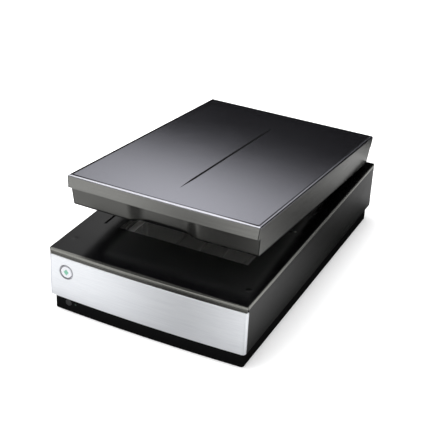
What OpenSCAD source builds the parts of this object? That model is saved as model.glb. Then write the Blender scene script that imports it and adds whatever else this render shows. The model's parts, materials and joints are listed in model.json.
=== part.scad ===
// Flatbed film scanner: a base with a glass bed and a belt-driven scan carriage, and a thick
// hinged cover that holds a second, moving lamp for film. Millimetres, +Z up, front towards -Y.
// The origin is on the table, under the middle of the base.

/* [Base] */
// Width of the base
body_w = 308; // [300:1:316]
// Depth of the base along its middle line
body_d = 503; // [495:1:511]
// Height of the bed rim above the table
bed_h = 101.3; // [99:0.1:104]
// How far the front face bows out in its middle
front_bow = 4; // [2:0.5:6]
// Height of the top of the black skirt
skirt_h = 25.5; // [24:0.5:28]
// How far the skirt is set in at each side
skirt_in_x = 4.3; // [3:0.1:5]
// How far the skirt is set in at the front and the back
skirt_in_y = 6.5; // [5:0.5:7]
// How far the rubber feet hold the skirt off the table
foot_gap = 1; // [1:0.5:2]
// Wall thickness of all shells
wall = 2.5; // [2:0.1:3]
// Radius of the front corners in plan
corner_r = 5; // [3:0.5:6]
// Lower edge of the trim strip over the silver panel
trim_z = 92.3; // [91:0.1:94]

/* [Bed] */
// Left edge of the glass window
window_x0 = -104.5; // [-108:0.5:-102]
// Right edge of the glass window
window_x1 = 108.5; // [106:0.5:110]
// Front edge of the glass window
window_y0 = -149; // [-152:0.5:-146]
// Back edge of the glass window
window_y1 = 150; // [147:0.5:152]
// Thickness of the glass
glass_t = 3; // [2.5:0.1:3.2]

/* [Cover] */
// Angle at which the cover stands open
cover_open = 6; // [0:0.1:70]
// Width of the cover
cover_w = 294.6; // [290:0.2:300]
// Length of the cover along its middle line
cover_l = 456; // [450:1:460]
// Height of the cover
cover_h = 48; // [46:0.5:50]
// Height of the cover's upper band
band_h = 19.4; // [17:0.1:22]
// How far the cover's front face bows out in its middle
cover_bow = 2.3; // [1:0.1:4]
// Gap between the bed rim and the closed cover
cover_gap = 3.7; // [3.5:0.1:5]
// How far the cover's sides taper in over its height
side_taper = 3.9; // [2:0.1:6]
// Step back of the front face under the band
front_step = 8; // [6:0.5:9]
// Further taper of the lower front face
front_taper = 5.9; // [4:0.1:8]
// Depth of the finger scoop in the lower front
scoop_d = 6.5; // [4:0.5:7]
// Half width of the scoop's flat middle
scoop_flat = 32; // [26:1:44]
// Width of each curved end of the scoop
scoop_end = 24; // [16:1:30]

/* [Hinges] */
// Distance from the back of the base to the hinge axis
hinge_back = 16.5; // [16:0.5:18]
// Height of the hinge axis above the closed cover's lower edge
hinge_up = 7; // [6.5:0.5:8]
// Distance of each hinge from the middle
hinge_x = 110; // [100:1:114]
// Radius of the hinge pins
hinge_pin_r = 2.5; // [2:0.1:3]

/* [Buttons] */
// Distance of the start button from the middle
start_x = -124.6; // [-128:0.2:-118]
// Height of the start button
start_z = 69.9; // [60:0.1:78]
// Radius of the start button
start_r = 10; // [8:0.2:11]
// Distance of the power button from the middle
power_x = -126.5; // [-130:0.5:-120]
// Height of the power button
power_z = 15; // [13:0.5:17]
// Travel of both buttons
press = 1.2; // [0.8:0.1:1.4]

/* [Scan drive] */
// Distance of the guide rod from the middle
rod_x = -119.5; // [-121:0.5:-118]
// Height of the guide rod
rod_z = 55; // [54:0.5:56]
// Radius of the guide rod
rod_r = 4; // [3.5:0.1:4.5]
// Distance of the belt pulleys from the middle
pulley_x = -137; // [-138:0.5:-136]
// Pitch radius of the belt pulleys
pulley_r = 6.5; // [6:0.1:7]
// Gear size: pitch diameter over tooth count
gear_module = 0.6; // [0.5:0.05:0.6]
// Teeth of the gear on the drive pulley
gear_teeth = 36; // [30:1:36]
// Teeth of the motor's pinion
pinion_teeth = 12; // [12:1:14]
// Front-to-back place of the carriage when parked
carriage_y = 138; // [136:1:139]

/* [Hidden] */
$fn = 48;

// Colours
gloss_black = [0.04, 0.04, 0.05];
soft_black = [0.09, 0.09, 0.10];
charcoal = [0.26, 0.26, 0.25];
warm_grey = [0.52, 0.52, 0.49];
silver = [0.86, 0.87, 0.90];
steel = [0.70, 0.71, 0.73];
board_green = [0.05, 0.32, 0.18];
white = [0.95, 0.95, 0.94];

// Planes of the base
front_y = -body_d / 2;
back_y = body_d / 2;
tray_w = body_w - 2 * skirt_in_x;
tray_front = front_y + skirt_in_y;
tray_back = back_y - skirt_in_y;
floor_z = foot_gap + wall;
panel_back = front_y + front_bow + 5.5;
trim_back = front_y + front_bow + 3;
case_top = bed_h - 5.5;
bed_top = bed_h - 0.3;
bed_under = bed_h - 3;
lip_z = bed_h - 1.4;
case_in = back_y - wall;
rim_w = 3;

// Hinge axis and the closed cover's planes
hinge_y = back_y - hinge_back;
cover_z0 = bed_h + cover_gap;
cover_z1 = cover_z0 + cover_h;
band_z = cover_z1 - band_h;
hinge_z = cover_z0 + hinge_up;
cover_back = hinge_y + 6.5;
cover_front = cover_back - cover_l;
deck_z = cover_z1 - 2.5;
seam_in = 3.6;
inner_front = cover_front + front_step + front_taper + scoop_d + wall + 0.6;

// Scan drive
belt_in = pulley_r - 0.3;
belt_t = 1.2;
belt_z0 = rod_z - 3;
belt_h = 6;
drive_y = 195;
idler_y = -212;
gear_r = gear_module * gear_teeth / 2;
pinion_r = gear_module * pinion_teeth / 2;
motor_x = pulley_x + gear_r + pinion_r;
gear_z = rod_z - 9.5;
gear_h = 3.6;
bracket_z = rod_z - 14;
carriage_l = 92;
carriage_w = 224;
tub_z0 = 46;
tub_z1 = 84;
rail_top = 50;
slit_y = carriage_y + 18;
rod_front = -232;
rod_back = 225.5;
switch_y = panel_back + 5;

// Film lamp drive, in the closed cover's place
film_rod_x = -112;
film_z = cover_z0 + 15;
film_pulley_x = -128;
film_pulley_r = 5;
film_drive_y = 205;
film_idler_y = -170;
film_y = 150;
film_rod_back = 197;
film_belt_z = film_z - 3;

// ---------- outlines ----------

// Radius of a face w wide that bows out by bow in its middle
function bow_radius(w, bow) = (w * w / 4 + bow * bow) / (2 * bow);

// How far back the bowed face lies at x
function bow_back(x, w, bow) = let (r = bow_radius(w, bow)) r - sqrt(r * r - x * x);

// Arc of radius r round (cx, cy) from angle a0 to a1
function arc(cx, cy, r, a0, a1) = let (steps = r > 0 ? 6 : 0)
    [for (i = [0:steps]) let (a = a0 + (a1 - a0) * i / 6) [cx + r * cos(a), cy + r * sin(a)]];

// Outline w wide from y0, in the middle of its bowed front, to y1 at the back.
// The front corners have radius rf and the back ones rb.
function bowed_outline(w, y0, y1, bow, rf, rb) =
    let (big = bow_radius(w, bow), cx = w / 2 - rf, cy = y0 + big - sqrt(pow(big - rf, 2) - cx * cx),
         lean = asin(cx / (big - rf)), bx = w / 2 - rb)
    concat(arc(-bx, y1 - rb, rb, 90, 180), arc(-cx, cy, rf, 180, 270 - lean),
        [for (i = [1:23]) let (a = lean * (i / 12 - 1)) [big * sin(a), y0 + big - big * cos(a)]],
        arc(cx, cy, rf, 270 + lean, 360), arc(bx, y1 - rb, rb, 0, 90));

// Smooth step from 0 to 1
function ease(t) = let (u = max(0, min(1, t))) u * u * (3 - 2 * u);

// How far back the scoop lies at x
function scoop_back(x) = scoop_d * (1 - ease((abs(x) - scoop_flat) / scoop_end));

// Outline of the lower cover in plan, its front set back by in, its sides by side_in,
// with its back at y_back
function lower_cover_outline(in, side_in, y_back) =
    let (half = cover_w / 2 - side_in, n = 60)
    concat([[-half, y_back]],
        [for (i = [0:n]) let (x = -half + 2 * half * i / n)
            [x, cover_front + in + bow_back(x, cover_w, cover_bow) + scoop_back(x)]],
        [[half, y_back]]);

// Points of a rounded top edge of radius r with its outer corner at (x, z); side is 1 or -1
function edge_round(x, z, r, side) =
    [for (i = [0:4]) let (a = 90 * i / 4)
        [x - side * (r - r * cos(a)), z - r + r * sin(a)]];

// ---------- small helpers ----------

module slab(x0, x1, y0, y1, z0, z1) {
    translate([x0, y0, z0]) cube([x1 - x0, y1 - y0, z1 - z0]);
}

module bowed_slab(w, y0, y1, bow, rf, rb, z0, z1) {
    translate([0, 0, z0]) linear_extrude(z1 - z0) polygon(bowed_outline(w, y0, y1, bow, rf, rb));
}

// Cylinder along Y from y0 to y1
module bar_y(x, z, r, y0, y1) {
    translate([x, y0, z]) rotate([-90, 0, 0]) cylinder(r = r, h = y1 - y0);
}

// Cylinder along X from x0 to x1
module bar_x(y, z, r, x0, x1) {
    translate([x0, y, z]) rotate([0, 90, 0]) cylinder(r = r, h = x1 - x0);
}

// Cylinder along Z from z0 to z1
module bar_z(x, y, r, z0, z1) {
    translate([x, y, z0]) cylinder(r = r, h = z1 - z0);
}

// Turns what is drawn on the closed cover to where the cover stands
module on_cover() {
    translate([0, hinge_y, hinge_z]) rotate([-cover_open, 0, 0])
        translate([0, -hinge_y, -hinge_z]) children();
}

module left_and_right() {
    children();
    mirror([1, 0, 0]) children();
}

// Gear with straight-sided teeth, from z0 up, its first tooth turned by phase degrees
module gear(teeth, phase, bore_r, z0, h) {
    r = gear_module * teeth / 2;
    tip = r + 0.85 * gear_module;
    root = r - 1.25 * gear_module;
    step = 360 / teeth;
    outline = [for (i = [0:teeth - 1], k = [[root, -0.36], [tip, -0.13], [tip, 0.13], [root, 0.36]])
        let (a = phase + step * (i + k[1])) [k[0] * cos(a), k[0] * sin(a)]];
    translate([0, 0, z0]) difference() {
        linear_extrude(h) polygon(outline);
        translate([0, 0, -1]) cylinder(r = bore_r, h = h + 2);
    }
}

// Toothed belt pulley with two flanges, round Z, its belt face from z0 to z0 + h
module belt_pulley(r, bore_r, z0, h) {
    teeth = 16;
    difference() {
        union() {
            translate([0, 0, z0 - 1]) cylinder(r = r + 1.2, h = 1);
            difference() {
                translate([0, 0, z0]) cylinder(r = r - 0.5, h = h);
                for (i = [0:teeth - 1]) rotate([0, 0, 360 * i / teeth])
                    translate([r - 1.1, -0.45, z0]) cube([2, 0.9, h]);
            }
            translate([0, 0, z0 + h]) cylinder(r = r + 1.2, h = 1);
        }
        translate([0, 0, z0 - 2]) cylinder(r = bore_r, h = h + 4);
    }
}

// Racetrack round two points on one line along Y
module racetrack(x, y0, y1, r, z0, z1) {
    bar_z(x, y0, r, z0, z1);
    bar_z(x, y1, r, z0, z1);
    slab(x - r, x + r, y0, y1, z0, z1);
}

module belt_loop(x, y0, y1, r_in, z0, h) {
    difference() {
        racetrack(x, y0, y1, r_in + belt_t, z0, z0 + h);
        racetrack(x, y0, y1, r_in, z0 - 1, z0 + h + 1);
    }
}

// ---------- base, outside ----------

foot_places = [[-128, -210], [128, -210], [-128, 214], [128, 214]];
screw_places = [[-138, -230], [138, -230], [-138, 0], [138, 0], [-115, 236], [115, 236]];
screw_head_r = 3.2;

module base_tray() {
    color(soft_black) difference() {
        union() {
            difference() {
                bowed_slab(tray_w, tray_front, tray_back, front_bow, 4, 4, foot_gap, skirt_h);
                bowed_slab(tray_w - 2 * wall, tray_front + wall, tray_back - wall,
                    front_bow, 2, 2, floor_z, skirt_h + 1);
            }
            // screw posts
            for (p = screw_places) bar_z(p[0], p[1], 4.5, floor_z - 1, skirt_h);
            // blocks that hold the guide rod
            for (y = [rod_front, rod_back - 7])
                slab(rod_x - 8, rod_x + 8, y, y + 7, floor_z - 1, rod_z + 7);
            // posts under the glide rail
            for (y = [-228, -4, 216]) slab(116, 128, y, y + 8, floor_z - 1, rail_top - 4);
            // posts under the main board
            for (x = [-52, 90], y = [198, 236]) bar_z(x, y, 3, floor_z - 1, 30);
            // stiffening ribs on the floor
            for (x = [-80, -40, 0, 40, 80]) slab(x - 1, x + 1, -235, 185, floor_z - 1, floor_z + 6);
        }
        for (y = [rod_front, rod_back - 7]) bar_y(rod_x, rod_z, rod_r, y - 1, y + 8);
        for (p = foot_places) bar_z(p[0], p[1], 8, foot_gap - 1, foot_gap + 1);
        for (p = screw_places) {
            bar_z(p[0], p[1], screw_head_r + 0.4, foot_gap - 1, foot_gap + 2.6);
            bar_z(p[0], p[1], 1.6, foot_gap - 1, skirt_h + 1);
        }
        // vents in the floor
        for (x = [-110:10:-60], y = [110, 160]) slab(x - 1.5, x + 1.5, y, y + 34, 0, floor_z + 1);
        for (x = [60:10:110], y = [110, 160]) slab(x - 1.5, x + 1.5, y, y + 34, 0, floor_z + 1);
        // power button and status light
        bar_y(power_x, power_z, 5.4, tray_front - 1, tray_front + 12);
        bar_y(power_x + 12, power_z, 1.6, tray_front - 1, tray_front + 12);
    }
}

// Openings of the back wall: [middle x, middle z, width, height]
back_ports = [[66, 37.2, 12.8, 12], [24, 36.9, 9.8, 11.4], [-26, 36.8, 38.8, 11.2],
    [-73, 62, 18.6, 6.8]];

module base_case() {
    color(charcoal) difference() {
        union() {
            difference() {
                bowed_slab(body_w, panel_back, back_y, 0.1, 1, 4, skirt_h, case_top);
                bowed_slab(body_w - 2 * wall, panel_back + wall, case_in, 0.1, 1, 1.5,
                    skirt_h + 2.5, case_top + 1);
                bowed_slab(tray_w - 2 * wall, panel_back + wall, tray_back - wall, 0.1, 2, 2,
                    skirt_h - 1, skirt_h + 3);
            }
            // screw bosses that meet the tray's posts
            for (p = screw_places) bar_z(p[0], p[1], 4.5, skirt_h, skirt_h + 12);
            // webs from the bosses to the walls
            left_and_right() for (y = [-230, 0]) slab(138, 151.5, y - 1.5, y + 1.5, skirt_h, skirt_h + 12);
            left_and_right() slab(113.5, 116.5, 236, case_in, skirt_h, skirt_h + 12);
        }
        for (p = screw_places) bar_z(p[0], p[1], 1.6, skirt_h - 1, skirt_h + 10);
        for (p = back_ports)
            slab(p[0] - p[2] / 2, p[0] + p[2] / 2, case_in - 1, back_y + 1,
                p[1] - p[3] / 2, p[1] + p[3] / 2);
        // way in for the start button's stem
        bar_y(start_x, start_z, 5, panel_back - 1, panel_back + wall + 1);
    }
}

// U-shaped rim round the sides and the back of the bed
module bed_rim() {
    r = 1.2;
    ledge = rim_w + 2;
    section = concat([[-body_w / 2 + rim_w, bed_under], [-body_w / 2 + ledge, bed_under],
        [-body_w / 2 + ledge, case_top], [-body_w / 2 + 0.5, case_top],
        [-body_w / 2, case_top + 0.5]], edge_round(-body_w / 2, bed_h, r, -1),
        [[-body_w / 2 + rim_w, bed_h]]);
    back_section = concat([[back_y - rim_w, bed_under], [back_y - ledge, bed_under],
        [back_y - ledge, case_top], [back_y - 0.5, case_top],
        [back_y, case_top + 0.5]], edge_round(back_y, bed_h, r, 1),
        [[back_y - rim_w, bed_h]]);
    color(charcoal) intersection() {
        union() {
            left_and_right() translate([0, back_y, 0]) rotate([90, 0, 0])
                linear_extrude(back_y - trim_back - 1.2) polygon(section);
            rotate([90, 0, 90]) translate([0, 0, -body_w / 2])
                linear_extrude(body_w) polygon(back_section);
        }
        bowed_slab(body_w, front_y, back_y, 0.1, 1, 4, case_top - 1, bed_h + 1);
    }
}

// Black bed: a flat frame round the glass, with hinge holes and moulded marks
module bed_frame() {
    w = body_w - 2 * rim_w;
    slot = [hinge_x - 11.5, hinge_x + 11.5, hinge_y - 5, hinge_y + 5];
    color(gloss_black) difference() {
        slab(-w / 2, w / 2, trim_back, back_y - rim_w, bed_under, bed_top);
        // the glass lies in a rebate under the edge of the window
        slab(window_x0, window_x1, window_y0, window_y1, bed_under - 1, bed_top + 1);
        slab(window_x0 - 4, window_x1 + 4, window_y0 - 4, window_y1 + 4, bed_under - 1, lip_z);
        // lowered strip left of the glass, with the groove that guides film holders
        slab(window_x0 - 19.5, window_x0 + 1, window_y0, window_y1, bed_top - 0.7, bed_top + 1);
        slab(-124, -117, window_y0 + 2, window_y1 - 2, bed_top - 1.9, bed_top + 1);
        left_and_right() slab(slot[0], slot[1], slot[2], slot[3], bed_under - 1, bed_top + 1);
        // shallow round dishes near the front corners
        left_and_right() translate([136, -206, bed_top + 27.4]) sphere(r = 28.2, $fn = 96);
        // locating hole and screw caps
        bar_z(122.5, -32, 2, bed_top - 1.5, bed_top + 1);
        left_and_right() bar_z(142, 209, 2.6, bed_top - 0.6, bed_top + 1);
    }
}

module platen_glass() {
    color([0.75, 0.85, 0.85, 0.35])
        slab(window_x0 - 3.8, window_x1 + 3.8, window_y0 - 3.8, window_y1 + 3.8, lip_z - glass_t, lip_z);
}

module calibration_strip() {
    color(white) slab(window_x0 - 2, window_x1 + 2, window_y1 + 5, window_y1 + 17,
        bed_under - 1, bed_under);
}

module front_panel() {
    y_hole = front_y + bow_back(start_x, body_w, front_bow);
    color(silver) difference() {
        bowed_slab(body_w, front_y, panel_back, front_bow, corner_r, 0, skirt_h, trim_z);
        bowed_slab(body_w - 2 * wall, front_y + wall, panel_back + 1, front_bow, corner_r - wall, 0,
            skirt_h + 2, trim_z - 2);
        bar_y(start_x, start_z, start_r + 1.6, y_hole - 3, y_hole + 6);
    }
}

// Trim strip with a proud upper lip over a recessed lower part
module front_trim() {
    color(warm_grey) union() {
        bowed_slab(body_w - 1.6, front_y + 0.8, trim_back, front_bow, 2.2, 0, trim_z, bed_h - 3);
        bowed_slab(body_w - 0.4, front_y + 0.2, trim_back, front_bow, 2.6, 0, bed_h - 4, bed_h);
        // tongue that hooks behind the bed frame's front edge
        slab(-120, 120, trim_back - 1, panel_back + 4, case_top, bed_under);
    }
}

// ---------- buttons ----------

module start_button_ring() {
    y = front_y + bow_back(start_x, body_w, front_bow);
    color(warm_grey) difference() {
        union() {
            bar_y(start_x, start_z, start_r + 1.6, y, y + wall);
            translate([start_x, y, start_z]) rotate([90, 0, 0])
                cylinder(r1 = start_r + 1.6, r2 = start_r + 0.9, h = 0.6);
        }
        bar_y(start_x, start_z, start_r + 0.3, y - 1, y + wall + 1);
    }
}

module start_button() {
    y = front_y + bow_back(start_x, body_w, front_bow);
    color(white) union() {
        bar_y(start_x, start_z, start_r, y + 0.3, y + 2);
        translate([start_x, y + 0.3, start_z]) rotate([90, 0, 0])
            cylinder(r1 = start_r, r2 = start_r - 0.8, h = 0.5);
        bar_y(start_x, start_z, 3.5, y + 2, switch_y - 2.2 - press);
    }
}

module power_button() {
    y = tray_front + bow_back(power_x, tray_w, front_bow);
    color(soft_black) union() {
        bar_y(power_x, power_z, 5, y + 0.2, switch_y - 1.3 - press);
        translate([power_x, y + 0.2, power_z]) rotate([90, 0, 0]) cylinder(r1 = 5, r2 = 4.3, h = 0.5);
    }
}

module status_light() {
    y = tray_front + bow_back(power_x + 12, tray_w, front_bow);
    color([0.3, 0.8, 0.4]) bar_y(power_x + 12, power_z, 1.6, y + 0.2, switch_y);
}

// Board behind both buttons, with a push switch for each
module button_board() {
    y = switch_y;
    color(board_green) union() {
        slab(start_x - 14, start_x + 16, y, y + 1.6, floor_z, start_z + 10);
        slab(start_x - 3, start_x + 3, y - 2, y, start_z - 3, start_z + 3);
        slab(power_x - 3, power_x + 3, y - 1, y, power_z - 3, power_z + 3);
    }
}

// ---------- feet, screws ----------

module rubber_feet() {
    color([0.13, 0.13, 0.13]) for (p = foot_places) {
        bar_z(p[0], p[1], 8, 0.6, foot_gap + 1);
        bar_z(p[0], p[1], 7.4, 0, 0.6);
    }
}

module case_screws() {
    color(steel) for (p = screw_places) difference() {
        union() {
            bar_z(p[0], p[1], screw_head_r, foot_gap + 0.8, foot_gap + 2.6);
            bar_z(p[0], p[1], 1.6, foot_gap + 2.6, skirt_h + 10);
        }
        for (a = [0, 90]) translate([p[0], p[1], foot_gap + 0.8]) rotate([0, 0, a])
            cube([4, 0.7, 1.6], center = true);
    }
}

// ---------- scan drive ----------

module guide_rod() {
    color(steel) bar_y(rod_x, rod_z, rod_r, rod_front, rod_back);
}

module glide_rail() {
    color(steel) slab(116, 128, rod_front, rod_back, rail_top - 4, rail_top);
}

module motor_bracket() {
    color(steel) difference() {
        union() {
            slab(pulley_x - 8, motor_x + 18.5, drive_y - 21, drive_y + 21, bracket_z, bracket_z + 2);
            slab(pulley_x - 8, motor_x + 18.5, drive_y - 21, drive_y - 19, floor_z, bracket_z);
            slab(pulley_x - 8, motor_x + 18.5, drive_y + 19, drive_y + 21, floor_z, bracket_z);
            bar_z(pulley_x, drive_y, 2, bracket_z, belt_z0 + belt_h + 2);
        }
        bar_z(motor_x, drive_y, 5, bracket_z - 1, bracket_z + 3);
    }
}

module drive_motor() {
    color(steel) union() {
        bar_z(motor_x, drive_y, 17.5, bracket_z - 25, bracket_z);
        bar_z(motor_x, drive_y, 5, bracket_z, bracket_z + 1.5);
        bar_z(motor_x, drive_y, 1.5, bracket_z + 1.5, gear_z + gear_h);
    }
}

module motor_pinion() {
    color([0.85, 0.75, 0.35]) translate([motor_x, drive_y, 0])
        gear(pinion_teeth, 180 + 180 / pinion_teeth, 1.52, gear_z, gear_h);
}

module drive_pulley() {
    color(white) translate([pulley_x, drive_y, 0]) union() {
        belt_pulley(pulley_r, 2.05, belt_z0, belt_h);
        gear(gear_teeth, 0, 2.05, gear_z, gear_h);
        difference() {
            bar_z(0, 0, 4, gear_z + gear_h, belt_z0 - 1);
            translate([0, 0, gear_z]) cylinder(r = 2.05, h = 12);
        }
    }
}

module drive_belt() {
    color(soft_black) belt_loop(pulley_x, idler_y, drive_y, belt_in, belt_z0 + 0.3, belt_h - 0.6);
}

module idler_bracket() {
    color(soft_black) union() {
        slab(pulley_x - 8, pulley_x + 7, idler_y - 10, idler_y + 10, floor_z, belt_z0 - 2);
        bar_z(pulley_x, idler_y, 2, belt_z0 - 2, belt_z0 + belt_h + 2);
    }
}

module idler_pulley() {
    color(white) translate([pulley_x, idler_y, 0]) belt_pulley(pulley_r, 2.05, belt_z0, belt_h);
}

// ---------- scan carriage ----------

carriage_front = carriage_y - carriage_l / 2;
carriage_rear = carriage_y + carriage_l / 2;

module carriage_tub() {
    x1 = carriage_w / 2;
    color(soft_black) difference() {
        union() {
            difference() {
                slab(-x1, x1, carriage_front, carriage_rear, tub_z0, tub_z1);
                slab(-x1 + wall, x1 - wall, carriage_front + wall, carriage_rear - wall,
                    tub_z0 + wall, tub_z1 + 1);
            }
            // bearing blocks round the guide rod
            for (y = [carriage_front + 3, carriage_rear - 21])
                slab(rod_x - 8, -x1 + 1, y, y + 18, rod_z - 8, rod_z + 8);
            // arm over the glide rail
            slab(x1 - 1, x1 + 15, carriage_y - 14, carriage_y + 14, rail_top + 3, rail_top + 10);
            // arm to the belt clamp
            slab(-x1 - 21, -x1 + 1, carriage_y - 5, carriage_y + 5, tub_z1 - 16, tub_z1 - 12);
        }
        bar_y(rod_x, rod_z, 6, carriage_front - 1, carriage_rear + 1);
    }
}

// Hook on the tub's back wall that the transport lock holds
module lock_catch() {
    color(steel) union() {
        slab(-58, -56, carriage_rear, carriage_rear + 7, 58, 65);
        slab(-68, -56, carriage_rear + 5.5, carriage_rear + 7, 58, 65);
    }
}

module carriage_deck() {
    x1 = carriage_w / 2;
    color(soft_black) difference() {
        slab(-x1, x1, carriage_front, carriage_rear, tub_z1, tub_z1 + 2);
        slab(-107, 107, slit_y - 3, slit_y + 3, tub_z1 - 1, tub_z1 + 3);
        // shallow panels in front of the slit
        for (x = [-100, -32, 36])
            slab(x, x + 64, carriage_front + 8, carriage_y - 4, tub_z1 + 1.2, tub_z1 + 3);
    }
}

// Two lamp strips with sloping faces, one on each side of the slit
module lamp_bars() {
    color(white) for (s = [0, 1]) translate([0, slit_y, 0]) mirror([0, s, 0])
        rotate([90, 0, 90]) translate([0, 0, -108]) linear_extrude(216)
            polygon([[4, tub_z1 + 2], [12, tub_z1 + 2], [12, tub_z1 + 8], [8, tub_z1 + 8]]);
}

// Mirrors that fold the light path: [distance behind the slit, middle z, tilt]
mirror_places = [[0, 55, 45], [19, 56, -40], [19, 74, 40]];

module fold_mirrors() {
    half = carriage_w / 2 - wall;
    color([0.8, 0.85, 0.9]) for (m = mirror_places)
        translate([-half, slit_y + m[0], m[1]]) rotate([m[2], 0, 0])
            translate([0, -6, -1]) cube([2 * half, 12, 2]);
}

lens_x = 17;
lens_r = 6;
lens_z = 72;

module lens_holder() {
    color(soft_black) difference() {
        slab(-30, 30, carriage_y - 34, carriage_y - 16, tub_z0 + wall, lens_z);
        for (x = [-lens_x, lens_x]) bar_y(x, lens_z, lens_r, carriage_y - 35, carriage_y - 15);
    }
}

module lens_barrels() {
    color(gloss_black) for (x = [-lens_x, lens_x]) difference() {
        union() {
            bar_y(x, lens_z, lens_r, carriage_y - 36, carriage_y - 14);
            bar_y(x, lens_z, lens_r + 0.8, carriage_y - 14, carriage_y - 11);
        }
        bar_y(x, lens_z, 4.4, carriage_y - 13, carriage_y - 10);
    }
}

module sensor_board() {
    y = carriage_front + wall;
    color(board_green) union() {
        slab(-50, 50, y, y + 1.6, tub_z0 + wall, tub_z1 - 2);
        slab(-38, 38, y + 1.6, y + 4.4, lens_z - 5, lens_z + 5);
    }
}

module carriage_bushings() {
    color([0.80, 0.62, 0.30]) for (y = [carriage_front + 3, carriage_rear - 21]) difference() {
        bar_y(rod_x, rod_z, 6, y, y + 18);
        bar_y(rod_x, rod_z, rod_r + 0.05, y - 1, y + 19);
    }
}

module glide_pad() {
    color(white) slab(117, 127, carriage_y - 12, carriage_y + 12, rail_top + 0.1, rail_top + 3);
}

// Clamp that hangs from the tub's arm and grips the inner run of the belt
module belt_clamp() {
    run_x = pulley_x + belt_in + belt_t / 2;
    color(white) difference() {
        slab(run_x - 2.6, run_x + 2.5, carriage_y - 8, carriage_y + 8, belt_z0 - 1.5, tub_z1 - 16);
        slab(run_x - belt_t / 2 - 0.25, run_x + belt_t / 2 + 0.25, carriage_y - 9, carriage_y + 9,
            belt_z0, belt_z0 + belt_h);
    }
}

// ---------- electronics and sockets ----------

board_z = 30;

module main_board() {
    color(board_green) union() {
        slab(-60, 105, 190, 246, board_z, board_z + 1.6);
        slab(-10, 12, 200, 222, board_z + 1.6, board_z + 4);
        slab(30, 44, 204, 218, board_z + 1.6, board_z + 3.4);
        slab(56, 70, 200, 208, board_z + 1.6, board_z + 3.4);
        for (x = [82, 94]) bar_z(x, 202, 4, board_z + 1.6, board_z + 12);
        slab(-54, -24, 194, 200, board_z + 1.6, board_z + 9);
    }
}

module data_socket() {
    color(steel) difference() {
        slab(60, 72, 235, back_y - 0.6, board_z + 1.6, board_z + 12.8);
        difference() {
            slab(61.75, 70.25, 238, back_y + 1, board_z + 3.3, board_z + 11.1);
            slab(63.2, 68.8, 237, back_y - 2, board_z + 5.6, board_z + 8.8);
        }
    }
}

module power_inlet() {
    color(gloss_black) difference() {
        slab(19.5, 28.5, 237, back_y - 0.6, board_z + 1.6, board_z + 12.2);
        difference() {
            bar_y(24, board_z + 7, 3.1, 239, back_y + 1);
            bar_y(24, board_z + 7, 1, 238, back_y - 1.6);
        }
    }
}

module cover_cable_socket() {
    color(soft_black) difference() {
        slab(-45, -7, 236, back_y - 0.6, board_z + 1.6, board_z + 12);
        difference() {
            slab(-42.5, -9.5, 240, back_y + 1, board_z + 3.5, board_z + 10.1);
            slab(-39, -13, 239, back_y - 2, board_z + 5.8, board_z + 7.8);
        }
    }
}

// Slider on the back wall whose finger drops into the carriage's catch
module transport_lock() {
    color(soft_black) union() {
        slab(-85, -68, case_in - 3.2, case_in - 0.2, 55, 69);
        difference() {
            slab(-82, -74, case_in - 1, back_y - 0.3, 59, 65);
            for (x = [-80.2, -78.2, -76.2]) slab(x - 0.4, x + 0.4, back_y - 0.9, back_y, 58, 66);
        }
        slab(-80, -72, carriage_rear + 1.5, case_in - 3.2, 66, 69);
        slab(-80, -72, carriage_rear + 1.5, carriage_rear + 4.5, 60, 66);
    }
}

// ---------- hinges ----------

module hinge_sockets() {
    color(soft_black) left_and_right() difference() {
        union() {
            slab(hinge_x - 14, hinge_x + 14, hinge_y - 7.5, hinge_y + 8, 47, bed_under);
            slab(hinge_x - 4, hinge_x + 4, hinge_y + 7, case_in, 47, case_top);
        }
        slab(hinge_x - 11.5, hinge_x + 11.5, hinge_y - 5, hinge_y + 5, 49, bed_under + 1);
    }
}

// Posts that stand in the sockets and rise when something thick lies on the glass
module hinge_posts() {
    color(soft_black) left_and_right() difference() {
        union() {
            slab(hinge_x - 11, hinge_x + 11, hinge_y - 4.5, hinge_y + 4.5, 50, bed_top + 0.1);
            slab(hinge_x - 13.5, hinge_x + 13.5, hinge_y - 6.2, hinge_y + 6.2,
                bed_top + 0.1, bed_top + 2.2);
            slab(hinge_x - 6, hinge_x + 6, hinge_y - 5, hinge_y + 5, bed_top + 2.2, hinge_z);
            bar_x(hinge_y, hinge_z, 6, hinge_x - 6, hinge_x + 6);
        }
        bar_x(hinge_y, hinge_z, hinge_pin_r, hinge_x - 7, hinge_x + 7);
        // the stem is hollow from below
        slab(hinge_x - 8.5, hinge_x + 8.5, hinge_y - 2, hinge_y + 2, 49, 92);
    }
}

module hinge_pins() {
    color(steel) left_and_right() bar_x(hinge_y, hinge_z, hinge_pin_r, hinge_x - 13, hinge_x + 13);
}

// Leaves: two ears round each pin, on a plate that is screwed under the cover's top
module hinge_leaves() {
    color(soft_black) on_cover() left_and_right() difference() {
        union() {
            for (x = [hinge_x - 13, hinge_x + 6.3]) {
                bar_x(hinge_y, hinge_z, 6, x, x + 6.7);
                slab(x, x + 6.7, hinge_y - 13, hinge_y, hinge_z - 2, hinge_z + 6);
            }
            slab(hinge_x - 13, hinge_x + 13, hinge_y - 36, hinge_y - 8.5, hinge_z - 2, hinge_z + 2);
            slab(hinge_x - 13, hinge_x + 13, hinge_y - 12, hinge_y - 8.5, hinge_z - 2, deck_z - 1.5);
        }
        bar_x(hinge_y, hinge_z, hinge_pin_r + 0.05, hinge_x - 14, hinge_x + 14);
    }
}

// ---------- cover ----------

// Cross-section of the cover's sides, grown in by t on each side, from z0 to z1
function side_section(t, z0, z1, r) =
    let (half = cover_w / 2 - t, foot = half - side_taper * (cover_z1 - z0) / cover_h,
         head = half - side_taper * (cover_z1 - z1) / cover_h,
         right = edge_round(head, z1, r, 1))
    concat([[-foot, z0], [foot, z0]], right, [for (i = [4:-1:0]) [-right[i][0], right[i][1]]]);

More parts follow.
